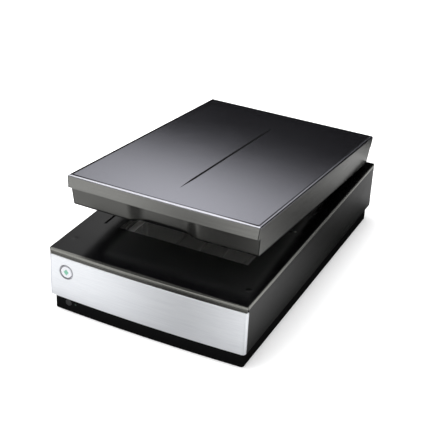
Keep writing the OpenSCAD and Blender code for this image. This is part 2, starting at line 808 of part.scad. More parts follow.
// Length profile of the cover's back and top edges, seen along X
function length_section(t, r) =
    let (front = edge_round(cover_front, cover_z1, r, -1), back = edge_round(cover_back, cover_z1, r, 1))
    concat([[cover_front, cover_z0 - 1], [cover_back - 5 - t, cover_z0 - 1], [cover_back - 3 - t, band_z],
        [cover_back - t, band_z]], [for (i = [0:4]) back[i]], [for (i = [4:-1:0]) front[i]]);

module along_y(y0, y1, points) {
    translate([0, y1, 0]) rotate([90, 0, 0]) linear_extrude(y1 - y0) polygon(points);
}

// Outer form of the closed cover: band above, tapered lower body with the scoop below
module cover_body() {
    intersection() {
        along_y(cover_front - 1, cover_back + 1, side_section(0, cover_z0, cover_z1, 2.5));
        rotate([90, 0, 90]) translate([0, 0, -cover_w / 2 - 1]) linear_extrude(cover_w + 2)
            polygon(length_section(0, 2.5));
        union() {
            bowed_slab(cover_w, cover_front, cover_back, cover_bow, 1.5, 1.5, band_z, cover_z1);
            intersection() {
                lower_cover(front_step, 0);
                slab(-cover_w, cover_w, cover_front - 9, cover_back + 9, cover_z0, band_z);
            }
        }
    }
}

// Block whose scooped front leans back downwards; at band_z it is set back by in
module lower_cover(in, side_in) {
    lean = atan(front_taper / (band_z - cover_z0));
    outline = lower_cover_outline(in, side_in, cover_back + 200);
    translate([0, 0, band_z]) rotate([lean, 0, 0]) translate([0, 0, -150])
        linear_extrude(300) polygon([for (p = outline) [p[0], p[1] * cos(lean)]]);
}

module cover_shell() {
    color(warm_grey) on_cover() difference() {
        cover_body();
        // hollow of the cover, open below
        intersection() {
            along_y(cover_front, cover_back, side_section(wall, cover_z0 - 1, deck_z - 1.5, 0.5));
            slab(-cover_w, cover_w, cover_front + wall, cover_back - 5 - wall, cover_z0 - 1, deck_z - 1.5);
            union() {
                lower_cover(front_step + wall, wall);
                slab(-cover_w, cover_w, cover_front + cover_bow + wall, cover_back,
                    band_z + wall, cover_z1);
            }
        }
        // recess for the top panel
        bowed_slab(cover_w - 2 * seam_in, cover_front + seam_in, cover_back - seam_in, cover_bow, 1, 1,
            deck_z, cover_z1 + 1);
        // notches for the hinges in the back wall
        left_and_right() slab(hinge_x - 14.5, hinge_x + 14.5, hinge_y - 9, cover_back + 1,
            cover_z0 - 1, hinge_z + 9);
    }
}

// Inset top panel with one long pointed groove along its middle
module cover_top_panel() {
    gap = 1.2;
    y0 = cover_back - 401;
    y1 = cover_back - 79;
    half = 1.9;
    tip = 40;
    color([0.30, 0.31, 0.34]) on_cover() difference() {
        bowed_slab(cover_w - 2 * (seam_in + gap), cover_front + seam_in + gap, cover_back - seam_in - gap,
            cover_bow, 1, 1, deck_z, cover_z1);
        translate([0, 0, cover_z1 - 1.6]) linear_extrude(2)
            polygon([[0, y0], [half, y0 + tip], [half, y1 - tip],
                [0, y1], [-half, y1 - tip], [-half, y0 + tip]]);
    }
}

// Black frame under the cover, with a rebate for the mat and the film window
module cover_inner_frame() {
    outline = lower_cover_outline(front_step + front_taper + wall + 0.3, side_taper + wall + 0.3,
        cover_back - 5 - wall - 0.3);
    color(soft_black) on_cover() difference() {
        translate([0, 0, cover_z0]) linear_extrude(2.6) polygon(outline);
        // film window
        slab(-104, 104, -134, 130, cover_z0 - 1, cover_z0 + 3);
        // rebate for the mat, longer than the mat by its travel
        slab(-118.5, 118.5, -174.5, 158.5, cover_z0 - 1, cover_z0 + 1.3);
        left_and_right()
            slab(hinge_x - 14.5, hinge_x + 14.5, hinge_y - 9, hinge_y + 9, cover_z0 - 1, cover_z0 + 3);
    }
}

module cover_window() {
    color([0.85, 0.9, 0.9, 0.5]) on_cover()
        slab(-108, 108, -138, 134, cover_z0 + 2.6, cover_z0 + 4.6);
}

module document_mat() {
    color(white) on_cover() union() {
        slab(-118, 118, -161, 158, cover_z0 - 1.6, cover_z0 + 1.2);
        slab(-114, 114, -157, 154, cover_z0 - 2.7, cover_z0 - 1.6);
    }
}

module cover_stops() {
    color([0.13, 0.13, 0.13]) on_cover() for (x = [-130, 130], y = [-180, 205])
        bar_z(x, y, 5, bed_top + 0.4, cover_z0);
}

// ---------- film lamp in the cover ----------

module film_lamp_housing() {
    run_x = film_pulley_x + film_pulley_r - 0.3 + belt_t / 2;
    color(soft_black) on_cover() difference() {
        union() {
            difference() {
                slab(-104, 104, film_y - 20, film_y + 20, film_z - 9, film_z + 16);
                slab(-102, 102, film_y - 18, film_y + 18, film_z - 10, film_z + 14);
            }
            slab(film_rod_x - 6, -103, film_y - 12, film_y + 12, film_z - 6, film_z + 6);
            slab(103, 118, film_y - 8, film_y + 8, film_z - 2.9, film_z + 4);
            // arm with a clip that grips the inner run of the belt
            slab(run_x - 2.2, film_rod_x - 5, film_y - 4, film_y + 4, film_z + 3.6, film_z + 6);
            slab(run_x - 2.2, run_x + 2.2, film_y - 4, film_y + 4, film_belt_z - 1, film_z + 4);
        }
        slab(run_x - belt_t / 2 - 0.25, run_x + belt_t / 2 + 0.25, film_y - 5, film_y + 5,
            film_belt_z - 2, film_belt_z + 6);
        bar_y(film_rod_x, film_z, 3.05, film_y - 13, film_y + 13);
    }
}

module film_lamp() {
    color(white) on_cover() bar_x(film_y, film_z, 4, -102, 102);
}

module film_lamp_rod() {
    color(steel) on_cover() bar_y(film_rod_x, film_z, 3, inner_front + 12, film_rod_back);
}

module film_lamp_rail() {
    color(soft_black) on_cover() union() {
        slab(108, 118, inner_front + 8, film_rod_back, film_z - 7, film_z - 3);
        for (y = [inner_front + 8, 20, film_rod_back - 8])
            slab(112, 118, y, y + 8, cover_z0 + 2.6, film_z - 7);
        // holders of the rod
        for (y = [inner_front + 8, film_rod_back - 6]) difference() {
            slab(film_rod_x - 5, film_rod_x + 5, y, y + 6, cover_z0 + 2.6, film_z + 5);
            bar_y(film_rod_x, film_z, 3, inner_front + 12, film_rod_back);
        }
    }
}

module film_belt() {
    color(soft_black) on_cover()
        belt_loop(film_pulley_x, film_idler_y, film_drive_y, film_pulley_r - 0.3, film_belt_z + 0.3, 5.4);
}

module film_drive_pulley() {
    color(white) on_cover() translate([film_pulley_x, film_drive_y, 0])
        belt_pulley(film_pulley_r, 1.55, film_belt_z, 6);
}

module film_idler_pulley() {
    color(white) on_cover() translate([film_pulley_x, film_idler_y, 0])
        belt_pulley(film_pulley_r, 1.55, film_belt_z, 6);
}

// Motor over the drive pulley, on a post, and the idler's stud
module film_motor() {
    z = film_belt_z + 8;
    color(steel) on_cover() union() {
        bar_z(film_pulley_x, film_drive_y, 10.5, z + 1, z + 18);
        bar_z(film_pulley_x, film_drive_y, 1.5, cover_z0 + 2.6, z + 1);
        bar_z(film_pulley_x, film_idler_y, 1.5, cover_z0 + 2.6, z);
    }
}

base_tray();
base_case();
bed_rim();
bed_frame();
platen_glass();
front_panel();
front_trim();
start_button_ring();
start_button();
power_button();
status_light();
button_board();
rubber_feet();
case_screws();
guide_rod();
glide_rail();
motor_bracket();
drive_motor();
motor_pinion();
drive_pulley();
drive_belt();
idler_bracket();
idler_pulley();
carriage_tub();
lock_catch();
carriage_deck();
lamp_bars();
fold_mirrors();
lens_barrels();
lens_holder();
sensor_board();
carriage_bushings();
glide_pad();
belt_clamp();
calibration_strip();
main_board();
data_socket();
power_inlet();
cover_cable_socket();
transport_lock();
hinge_sockets();
hinge_posts();
hinge_pins();
hinge_leaves();
cover_shell();
cover_top_panel();
cover_inner_frame();
cover_window();
document_mat();
cover_stops();
film_lamp_housing();
film_lamp();
film_lamp_rod();
film_lamp_rail();
film_belt();
film_drive_pulley();
film_idler_pulley();
film_motor();
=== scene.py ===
# %% [markdown]
# # A film scanner, dressed in Blender
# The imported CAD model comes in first. Its solids are the frame of the lesson: nothing in it is
# moved, and each new piece is built around it in metres, in the same axes. +Z is up, the front
# with the silver panel looks along -Y, and the hinges are at the back.

# %% Load the frame
import json
import math
import bmesh
import bpy
from mathutils import Matrix, Vector


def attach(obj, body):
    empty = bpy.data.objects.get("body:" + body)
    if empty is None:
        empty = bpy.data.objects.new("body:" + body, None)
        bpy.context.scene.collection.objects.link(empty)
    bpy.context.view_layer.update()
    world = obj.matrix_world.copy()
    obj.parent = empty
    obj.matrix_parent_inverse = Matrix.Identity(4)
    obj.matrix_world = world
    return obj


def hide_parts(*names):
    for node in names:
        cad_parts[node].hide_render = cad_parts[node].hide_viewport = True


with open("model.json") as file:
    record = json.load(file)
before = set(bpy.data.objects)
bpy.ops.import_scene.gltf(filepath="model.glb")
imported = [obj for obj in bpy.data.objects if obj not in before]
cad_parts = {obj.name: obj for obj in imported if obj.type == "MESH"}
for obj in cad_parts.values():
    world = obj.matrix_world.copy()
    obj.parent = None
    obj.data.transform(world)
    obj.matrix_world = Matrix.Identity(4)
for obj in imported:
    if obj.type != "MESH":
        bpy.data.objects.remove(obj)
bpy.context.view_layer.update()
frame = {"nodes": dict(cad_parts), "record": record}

nodes = frame["nodes"]
MM = 0.001

# %% [markdown]
# ## The camera
# A photograph fixes its camera once some sizes in it are known. Straight edges of the base and
# the cover were set against their sizes in millimetres, and gave the direction, the distance,
# the focal length and the small roll below. Moving the aim point sideways in the picture plane
# does what a lens shift would do, so the shift stays at zero.

# %% Camera at the photograph's place
AZIMUTH, ELEVATION, ROLL = math.radians(25.168), math.radians(28.713), math.radians(2.758)
DISTANCE = 1725.6 * MM
FOCAL_PIXELS, PICTURE_PIXELS, SENSOR_MM = 1099.06, 430, 36
AIM_RIGHT, AIM_UP = -10.82 * MM, 69.53 * MM

back = Vector((math.sin(AZIMUTH) * math.cos(ELEVATION),
               -math.cos(AZIMUTH) * math.cos(ELEVATION), math.sin(ELEVATION)))
level_right = Vector((0, 0, 1)).cross(back).normalized()
level_up = back.cross(level_right)
right = level_right * math.cos(ROLL) + level_up * math.sin(ROLL)
up = level_up * math.cos(ROLL) - level_right * math.sin(ROLL)

bpy.ops.object.camera_add()
camera = bpy.context.object
camera.matrix_world = Matrix.Translation(back * DISTANCE + right * AIM_RIGHT + up * AIM_UP) @ \
    Matrix((right, up, back)).transposed().to_4x4()
camera.data.sensor_width = SENSOR_MM
camera.data.lens = FOCAL_PIXELS * SENSOR_MM / PICTURE_PIXELS
camera.data.clip_start, camera.data.clip_end = 0.05, 60
bpy.context.scene.camera = camera
bpy.context.scene.view_settings.view_transform = "Standard"
print("camera at", [round(c, 3) for c in camera.location], "lens", round(camera.data.lens, 2))

# %% [markdown]
# ## Tools for modelling
# Everything below is modelled as by hand: a primitive is added, shaped in edit mode, and
# finished with modifiers that are applied. A few helpers keep each step to one line. Most
# shells of this object are lofts: rings of points at several heights, bridged into one skin.

# %% Rings, lofts and blocks
def edit(piece):
    """Goes into edit mode on one piece, with nothing selected."""
    bpy.ops.object.select_all(action="DESELECT")
    piece.select_set(True)
    bpy.context.view_layer.objects.active = piece
    bpy.ops.object.mode_set(mode="EDIT")
    bpy.ops.mesh.select_all(action="DESELECT")


def done():
    bpy.ops.object.mode_set(mode="OBJECT")


def loft(name, rings):
    """Wraps a grid round rings of equally many points, given in mm, and fills its ends."""
    count = len(rings[0])
    bpy.ops.object.select_all(action="DESELECT")
    bpy.ops.mesh.primitive_grid_add(x_subdivisions=count, y_subdivisions=len(rings) - 1, size=MM)
    piece = bpy.context.object
    piece.name = piece.data.name = name
    edit(piece)
    mesh = bmesh.from_edit_mesh(piece.data)
    for place, vertex in enumerate(mesh.verts):
        ring, point = divmod(place, count + 1)
        vertex.co = Vector(rings[ring][point % count]) * MM
    bmesh.update_edit_mesh(piece.data)
    bpy.ops.mesh.select_all(action="SELECT")
    bpy.ops.mesh.remove_doubles(threshold=0.001 * MM)
    bpy.ops.mesh.fill_holes(sides=0)
    bpy.ops.mesh.select_all(action="SELECT")
    bpy.ops.mesh.normals_make_consistent(inside=False)
    done()
    return piece


def block(name, x, y, z):
    """A box between two values on each axis, in mm."""
    bpy.ops.object.select_all(action="DESELECT")
    bpy.ops.mesh.primitive_cube_add(size=1)
    piece = bpy.context.object
    piece.name = piece.data.name = name
    piece.matrix_world = Matrix.Translation([(a + b) / 2 * MM for a, b in (x, y, z)]) @ \
        Matrix.Diagonal([abs(b - a) * MM for a, b in (x, y, z)] + [1])
    settle(piece)
    return piece


def settle(piece):
    """Moves a piece's place into its mesh, so its object sits at the origin."""
    bpy.ops.object.select_all(action="DESELECT")
    piece.select_set(True)
    bpy.context.view_layer.objects.active = piece
    bpy.ops.object.transform_apply(location=True, rotation=True, scale=True)


def shape(piece, kind, **settings):
    """Adds one modifier to a piece and applies it."""
    bpy.ops.object.select_all(action="DESELECT")
    piece.select_set(True)
    bpy.context.view_layer.objects.active = piece
    modifier = piece.modifiers.new(kind.title(), kind)
    for key, value in settings.items():
        setattr(modifier, key, value)
    bpy.ops.object.modifier_apply(modifier=modifier.name)


def cut(piece, *cutters):
    """Takes the cutters away from a piece."""
    for cutter in cutters:
        shape(piece, "BOOLEAN", operation="DIFFERENCE", solver="EXACT", object=cutter)
        bpy.data.objects.remove(cutter)


def smooth(piece, angle=32):
    """Smooth shading up to an angle, led by the large faces so that they stay flat."""
    bpy.ops.object.select_all(action="DESELECT")
    piece.select_set(True)
    bpy.context.view_layer.objects.active = piece
    bpy.ops.object.shade_smooth_by_angle(angle=math.radians(angle))
    shape(piece, "WEIGHTED_NORMAL", keep_sharp=True, weight=100)


def soften(piece, width, segments=2, angle=32):
    """Rounds the sharp edges of a piece by a width in mm, and smooths what is nearly flat."""
    shape(piece, "BEVEL", width=width * MM, segments=segments, limit_method="ANGLE",
          angle_limit=math.radians(angle), harden_normals=False, use_clamp_overlap=True)
    smooth(piece, angle)


def finish_piece(piece, body, finish, *stands_for):
    """Gives a piece its finish, its body and the nodes it stands for."""
    piece.data.materials.clear()
    piece.data.materials.append(finishes[finish])
    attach(piece, body)
    if stands_for:
        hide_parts(*stands_for)
    print(f"{piece.name}: {len(piece.data.polygons)} faces on {body}")
    return piece

# %% [markdown]
# ## Shader maths in plain Python
# A procedural finish is arithmetic on textures. Wrapping a socket in a small class lets an
# ordinary expression such as `1 - mask * 0.3` add its Math nodes by itself.

# %% Sockets that can be added and multiplied
class Wire:
    """One output of a shader node."""

    def __init__(self, finish, socket):
        self.finish, self.socket = finish, socket

    def maths(self, operation, a, b):
        return self.finish.node("Math", {"operation": operation}, {0: a, 1: b})

    def __abs__(self):
        return self.maths("ABSOLUTE", self, 0)

    def __add__(self, other):
        return self.maths("ADD", self, other)

    def __mul__(self, other):
        return self.maths("MULTIPLY", self, other)

    def __sub__(self, other):
        return self.maths("SUBTRACT", self, other)

    def __rsub__(self, other):
        return self.maths("SUBTRACT", other, self)

    __radd__, __rmul__ = __add__, __mul__


class Finish:
    """A material built from a Principled shader and textures on Object coordinates."""

    def __init__(self, name, color, roughness, **constants):
        self.material = bpy.data.materials.new(name)
        self.material.use_nodes = True
        self.tree = self.material.node_tree
        self.shader = self.tree.nodes["Principled BSDF"]
        self.shader.inputs["Base Color"].default_value = (*color, 1)
        self.shader.inputs["Roughness"].default_value = roughness
        for key, value in constants.items():
            self.shader.inputs[key.replace("_", " ")].default_value = value
        self.place = self.node("TexCoord", output="Object")

    def node(self, kind, settings=None, sockets=None, output=0):
        node = self.tree.nodes.new("ShaderNode" + kind)
        for key, value in (settings or {}).items():
            setattr(node, key, value)
        for key, value in (sockets or {}).items():
            if isinstance(value, Wire):
                self.tree.links.new(value.socket, node.inputs[key])
            else:
                node.inputs[key].default_value = value
        return Wire(self, node.outputs[output])

    def axes(self):
        """The three coordinates of a point, a wire each."""
        return [self.node("SeparateXYZ", {}, {0: self.place}, output=axis) for axis in "XYZ"]

    def noise(self, per_mm, stretch=(1, 1, 1), detail=2.0):
        """Noise with so many spots per mm, finer along an axis with a larger stretch."""
        place = self.node("Mapping", {}, {"Vector": self.place, "Scale": stretch})
        return self.node("TexNoise", {}, {"Vector": place, "Scale": per_mm / MM,
                                          "Detail": detail, "Roughness": 0.55})

    def ramp(self, value, low, high):
        """Stretches a value so that low becomes 0 and high becomes 1."""
        return self.node("MapRange", {}, {"Value": value, "From Min": low, "From Max": high})

    def steps(self, value, low, high, top=1.0):
        """Rises from 0 at low to its top at high, with soft ends."""
        return self.node("MapRange", {"interpolation_type": "SMOOTHSTEP"},
                         {"Value": value, "From Min": low, "From Max": high, "To Max": top})

    def mix(self, a, b, share):
        return self.node("Mix", {"data_type": "RGBA"},
                         {0: share, 6: (*a, 1) if isinstance(a, tuple) else a,
                          7: (*b, 1) if isinstance(b, tuple) else b}, output=2)

    def feed(self, **links):
        for key, value in links.items():
            self.tree.links.new(value.socket, self.shader.inputs[key.replace("_", " ")])
        return self

    def bump(self, height, depth_mm):
        normal = self.node("Bump", {}, {"Height": height, "Strength": 1.0,
                                        "Distance": depth_mm * MM})
        return self.feed(Normal=normal)


def tone(color, factor):
    return tuple(min(1.0, c * factor) for c in color)


GRAIN_MM, GRAIN_DEPTH, TONE_SPREAD = 0.35, 0.02, 0.12


def moulded(name, color, roughness, **constants):
    """Moulded plastic or paint: a fine grain, and slow clouds of tone and gloss."""
    made = Finish(name, color, roughness, **constants)
    clouds = made.noise(0.02, detail=3)
    grain = made.noise(1 / GRAIN_MM, detail=1)
    made.feed(Base_Color=made.mix(tone(color, 1 - TONE_SPREAD), tone(color, 1 + TONE_SPREAD), clouds),
              Roughness=made.ramp(clouds, 0.2, 0.8) * (roughness * 0.25) + roughness * 0.87)
    made.bump(grain, GRAIN_DEPTH)
    return made.material

# %% [markdown]
# ## Finishes
# The cover is sprayed with a dark metallic paint whose flakes lift the highlight. The front
# panel is brushed, silver and slightly blue, with fine lines that run along it. The bed is
# polished black plastic, and the sides are dark plastic with a soft sheen.
#
# Some lines here are painted light and shade rather than lit by the lamps. The pale top edge of the
# cover and the lit edge of the bed rim are painted highlights. The dark top edge at the cover's left
# and back, its dark lip and front corners, and the darker left end of the silver panel are painted
# shade. As reflections they were about a pixel wide and sparkled. They depend on place and not on the
# view, and follow the photograph's light.

# %% The finishes, one for each slot of the record
finishes = {}
for slot, color, roughness, options in [
        ("skirt_black", (0.003, 0.003, 0.0033), 0.7, {"Specular_IOR_Level": 0.08}),
        ("case_grey", (0.007, 0.007, 0.0067), 0.32, {"Specular_IOR_Level": 0.62}),
        ("trim_grey", (0.20, 0.20, 0.188), 0.28, {"Metallic": 0.9}),
        ("button_white", (0.62, 0.63, 0.66), 0.35, {"Coat_Weight": 0.2}),
        ("light_green", (0.012, 0.03, 0.02), 0.30, {}),
        ("ring_grey", (0.50, 0.50, 0.54), 0.34, {"Metallic": 0.85}),
        ("pale_green", (0.15, 0.40, 0.28), 0.40, {}),
        ("board_green", (0.012, 0.12, 0.05), 0.40, {}),
        ("rubber", (0.018, 0.018, 0.018), 0.75, {}),
        ("steel", (0.55, 0.56, 0.57), 0.30, {"Metallic": 1.0}),
        ("brass", (0.62, 0.44, 0.17), 0.32, {"Metallic": 1.0}),
        ("inner_white", (0.72, 0.72, 0.70), 0.50, {}),
        ("inner_black", (0.022, 0.022, 0.023), 0.50, {}),
        ("mat_white", (0.68, 0.68, 0.655), 0.60, {}),
        ("mirror", (0.85, 0.87, 0.88), 0.04, {"Metallic": 1.0})]:
    finishes[slot] = moulded(slot, color, roughness, **options)


FLAKE_SPREAD = 0.10


def metallic_paint(name, color, roughness, metallic, grain):
    """Dark paint with fine flakes under a clear coat."""
    made = Finish(name, color, roughness, Metallic=metallic, Coat_Roughness=0.12)
    made.shader.inputs["Coat Weight"].default_value = 0.15
    flakes = made.noise(0.8, detail=1)
    clouds = made.noise(0.012, detail=3)
    share = made.ramp(flakes, 0.35, 0.65) * 0.7 + clouds * 0.3
    paint = made.mix(tone(color, 1 - FLAKE_SPREAD), tone(color, 1 + FLAKE_SPREAD), share)
    made.feed(Base_Color=paint,
              Roughness=made.ramp(clouds, 0.2, 0.8) * (roughness * 0.15) + roughness * 0.92)
    made.bump(flakes, grain)
    return made, paint


HINGE_Y, HINGE_Z, OPEN = 235.0, 112.0, math.radians(6.0)
# The lip of the finger scoop rises here. In the CAD solid it is straight, and a deeper scoop
# would explain the photograph's edge about as well.
ARCH_RISE, ARCH_FLAT, ARCH_END = 4.5, 20.0, 32.0
COVER_GREY, LOWER_SHADE_GREY, LINE_TONE = (0.25, 0.25, 0.238), (0.11, 0.11, 0.104), 0.88
EDGE_SHADE, EDGE_RIGHT_HIGHLIGHT, EDGE_FRONT_HIGHLIGHT = (0.02, 0.02, 0.022), (0.50, 0.50, 0.56), (0.80, 0.80, 0.87)
LIP_SHADE = (0.006, 0.006, 0.006)
SIDE_AT_TOP, SIDE_TOP, SIDE_SLOPE = 0.1473, 0.041, 0.08125

cover_top, _ = metallic_paint("cover_top", (0.28, 0.281, 0.326), 0.20, 0.99, 0.002)
cover_grey, paint = metallic_paint("cover_grey", COVER_GREY, 0.25, 0.92, 0.001)

# A point's place on the closed cover follows from its place on the open one: its height above
# the hinge, how far forward of the hinge it lies, and how far it is past the tapered side.
x, y, z = cover_grey.axes()
from_hinge, above = y - HINGE_Y * MM, z - HINGE_Z * MM
height = from_hinge * math.sin(OPEN) + above * math.cos(OPEN)
forward = above * math.sin(OPEN) - from_hinge * math.cos(OPEN)
past_side = abs(x) - SIDE_AT_TOP + (SIDE_TOP - height) * SIDE_SLOPE

# The band keeps the paint, with faint lines along it. Below the band the paint is darker, as painted
# shade for the dark reflections there, fully on the front and a little on the sides.
lines = cover_grey.noise(0.45, stretch=(0.01, 0.01, 1), detail=3)
paint = cover_grey.mix(tone(COVER_GREY, LINE_TONE), paint, cover_grey.ramp(lines, 0.35, 0.6))
on_front = 1 - cover_grey.ramp(past_side, -0.0006, -0.0002)
below_band = 1 - cover_grey.ramp(height, 0.0204, 0.0214)
paint = cover_grey.mix(paint, LOWER_SHADE_GREY, below_band * (on_front * 0.85 + 0.15))

# Painted highlight and shade: the rounded top edge is painted pale in front and on the right, and
# dark elsewhere.
edge = cover_grey.mix(EDGE_SHADE, EDGE_RIGHT_HIGHLIGHT, cover_grey.ramp(x, 0.1425, 0.143))
edge = cover_grey.mix(edge, EDGE_FRONT_HIGHLIGHT, cover_grey.ramp(forward, 0.4452, 0.4460))
paint = cover_grey.mix(paint, edge, cover_grey.ramp(height, 0.0384, 0.039))

# Painted shade: the front corners end in a dark line, and so does the lip, which it follows up its
# arch.
corner = cover_grey.ramp(past_side, -0.0018, -0.0012) * on_front
arch = cover_grey.steps(abs(x), (ARCH_FLAT + ARCH_END) * MM, ARCH_FLAT * MM, ARCH_RISE * MM)
from_lip = height - arch * cover_grey.ramp(forward, 0.40, 0.41)
dark = corner.maths("MAXIMUM", corner, 1 - cover_grey.ramp(from_lip, -0.0054, -0.0046))
cover_grey.feed(Base_Color=cover_grey.mix(paint, LIP_SHADE, dark))
finishes["cover_top"], finishes["cover_grey"] = cover_top.material, cover_grey.material

silver = Finish("panel_silver", (0.84, 0.86, 0.91), 0.32, Metallic=0.68)
brushed = silver.noise(0.9, stretch=(0.02, 1, 1), detail=3)
soft_lines = silver.noise(0.05, stretch=(0.12, 1, 1), detail=2)
sheet = silver.mix((0.70, 0.72, 0.765), (0.96, 0.98, 1.0), brushed * 0.6 + soft_lines * 0.4)
# Painted shade: the rounded left end of the panel is painted darker and bluer.
left_end_shade = 1 - silver.ramp(silver.axes()[0], -0.1514, -0.1496)
silver.feed(Base_Color=silver.mix(sheet, (0.36, 0.36, 0.42), left_end_shade * 0.9),
            Roughness=brushed * 0.10 + 0.29)
silver.bump(brushed, 0.02)
finishes["panel_silver"] = silver.material

black = Finish("bed_black", (0.0012, 0.0012, 0.0015), 0.2, Specular_IOR_Level=0.26)
orange_peel = black.noise(0.10, detail=2)
smudges = black.noise(0.016, detail=4)
black.feed(Roughness=black.ramp(smudges, 0.35, 0.75) * 0.08 + 0.17)
black.bump(orange_peel, 0.004)
finishes["bed_black"] = black.material

glass = Finish("glass", (0.40, 0.40, 0.375), 0.02, IOR=3.2, Specular_IOR_Level=1.0)
faint = glass.noise(0.03, detail=3)
glass.feed(Roughness=glass.ramp(faint, 0.4, 0.8) * 0.03 + 0.015,
           Alpha=faint * 0.03 + 0.145)
finishes["glass"] = glass.material

strip_paint = Finish("trim_two_tone", (0.26, 0.26, 0.242), 0.26, Metallic=0.92)
STRIP_LOWER, STRIP_LIP = (0.15, 0.15, 0.14), (0.29, 0.29, 0.27)
along = strip_paint.noise(0.5, stretch=(0.02, 1, 1))
lip_share = strip_paint.ramp(strip_paint.axes()[2], 0.0973, 0.0977)
strip_paint.feed(Base_Color=strip_paint.mix(STRIP_LOWER, STRIP_LIP, lip_share),
                 Roughness=along * 0.08 + 0.22)
finishes["trim_two_tone"] = strip_paint.material

# Painted highlight: the rim's outer edge on the right is painted pale and metallic.
RIM_BLACK, RIM_EDGE_HIGHLIGHT = (0.004, 0.004, 0.004), (0.42, 0.42, 0.39)
rim = Finish("rim_black", RIM_BLACK, 0.25)
scratches = rim.noise(0.4, stretch=(1, 0.03, 1))
lit_edge = rim.ramp(rim.axes()[0], 0.1531, 0.1535)
rim.feed(Metallic=lit_edge * 0.9, Roughness=scratches * 0.1 + 0.2,
         Base_Color=rim.mix(RIM_BLACK, RIM_EDGE_HIGHLIGHT, lit_edge))
finishes["rim_black"] = rim.material
print("finishes:", sorted(finishes))

# %% Finishes on the CAD nodes that stay
for part in frame["record"]["subparts"]:
    node = nodes[part["node"]]
    node.data.materials.clear()
    node.data.materials.append(finishes[part["material_slot"]])
# In the photograph the power button is a little paler than its slot's finish. The cover's
# inner frame isn't seen there, and is made blacker so that the lip ends in a dark line.
nodes["power_button"].data.materials[0] = finishes["inner_black"]
# The blacker inner frame is painted shade, a dark line below the lip.
nodes["cover_inner_frame"].data.materials[0] = finishes["skirt_black"]
print("finished nodes:", len(nodes))

# %% [markdown]
# ## The shape of the cover
# The cover's plan is a long rectangle with a slightly bowed front. Below the upper band its
# front steps back, and a long finger scoop is pressed into it. All of it is drawn with the
# cover closed, and each finished piece is then turned open about the hinge.

# %% Plan outlines
COVER_W, COVER_BACK, COVER_FRONT = 294.6, 241.5, -214.5
COVER_Z0, COVER_Z1, BAND_Z = 105.0, 153.0, 133.6
SIDE_TAPER, FRONT_STEP, FRONT_TAPER = 3.9, 8.0, 5.9
SCOOP_DEPTH, SCOOP_FLAT, SCOOP_END = 6.5, 32.0, 24.0
DECK_Z, SEAM_IN, WALL = 150.5, 3.6, 2.5
open_turn = Matrix.Translation((0, HINGE_Y * MM, HINGE_Z * MM)) @ \
    Matrix.Rotation(-OPEN, 4, "X") @ Matrix.Translation((0, -HINGE_Y * MM, -HINGE_Z * MM))


def bow(x, width, depth):
    """How far back a bowed face lies at x."""
    radius = (width * width / 4 + depth * depth) / (2 * depth)
    return radius - math.sqrt(radius * radius - x * x)


def hump(x, flat, end):
    """1 over a flat middle and 0 beyond it, with a curved end on either side."""
    share = min(1.0, max(0.0, (abs(x) - flat) / end))
    return 1 - share * share * (3 - 2 * share)


def scoop(x):
    """How far back the finger scoop lies at x."""
    return SCOOP_DEPTH * hump(x, SCOOP_FLAT, SCOOP_END)


def cover_ring(z, inset=0.0, lower=False, back=0.0, tuck=0.0, arch=0.0, columns=72):
    """One ring of the cover at a height: its front from left to right, then its back."""
    half = COVER_W / 2 - SIDE_TAPER * (COVER_Z1 - z) / (COVER_Z1 - COVER_Z0) - inset
    ring = []
    for i in range(columns + 1):
        x = half * (2 * i / columns - 1)
        y, high = COVER_FRONT + inset + tuck + bow(x, COVER_W, 2.3), z
        if lower:
            high = z + arch * hump(x, ARCH_FLAT, ARCH_END)
            y += FRONT_STEP + FRONT_TAPER * (BAND_Z - high) / (BAND_Z - COVER_Z0) + scoop(x)
        ring.append((x, y, high))
    rear = COVER_BACK - inset - back
    return ring + [(half * (1 - 2 * i / 6), rear, z) for i in range(7)]


def open_up(piece):
    """Turns a piece of the closed cover to where the cover stands."""
    piece.matrix_world = open_turn
    settle(piece)

# %% [markdown]
# ## The cover's shell
# One skin runs from the ceiling inside, down the inner wall, round the lower edge, up the scooped
# front, out under the band and over the rounded top edge to the seam round the top panel. The pale
# line along that edge is a painted highlight, as the finishes say.

# %% Shell of the cover
EDGE = 3.1
rounded = [cover_ring(COVER_Z1 - EDGE + EDGE * math.sin(a), EDGE - EDGE * math.cos(a))
           for a in [math.radians(15 * k) for k in range(7)]]
shell = loft("cover_body", [
    cover_ring(DECK_Z - 1.5, WALL, True, 5), cover_ring(COVER_Z0, WALL, True, 5, 0, ARCH_RISE),
    cover_ring(COVER_Z0, 0, True, 5, 0, ARCH_RISE), cover_ring(BAND_Z - 0.9, 0, True, 3),
    cover_ring(BAND_Z - 0.3, 0, True, 3, 0.8), cover_ring(BAND_Z, tuck=0.5),
    cover_ring(BAND_Z + 0.5),
    *rounded, cover_ring(COVER_Z1, SEAM_IN - 0.25), cover_ring(COVER_Z1 - 0.25, SEAM_IN),
    cover_ring(DECK_Z, SEAM_IN)])
for side in (-110, 110):
    cut(shell, block("notch", (side - 14.5, side + 14.5), (226, 243), (104, 121)))
soften(shell, 0.5, angle=40)
open_up(shell)
finish_piece(shell, "cover", "cover_grey", "cover_shell")

# %% [markdown]
# ## The inset top panel
# The panel lies in the shell's recess with a thin dark seam all round. One long groove with
# pointed ends runs along its middle. A hexagon drawn from above and pushed down cuts it.

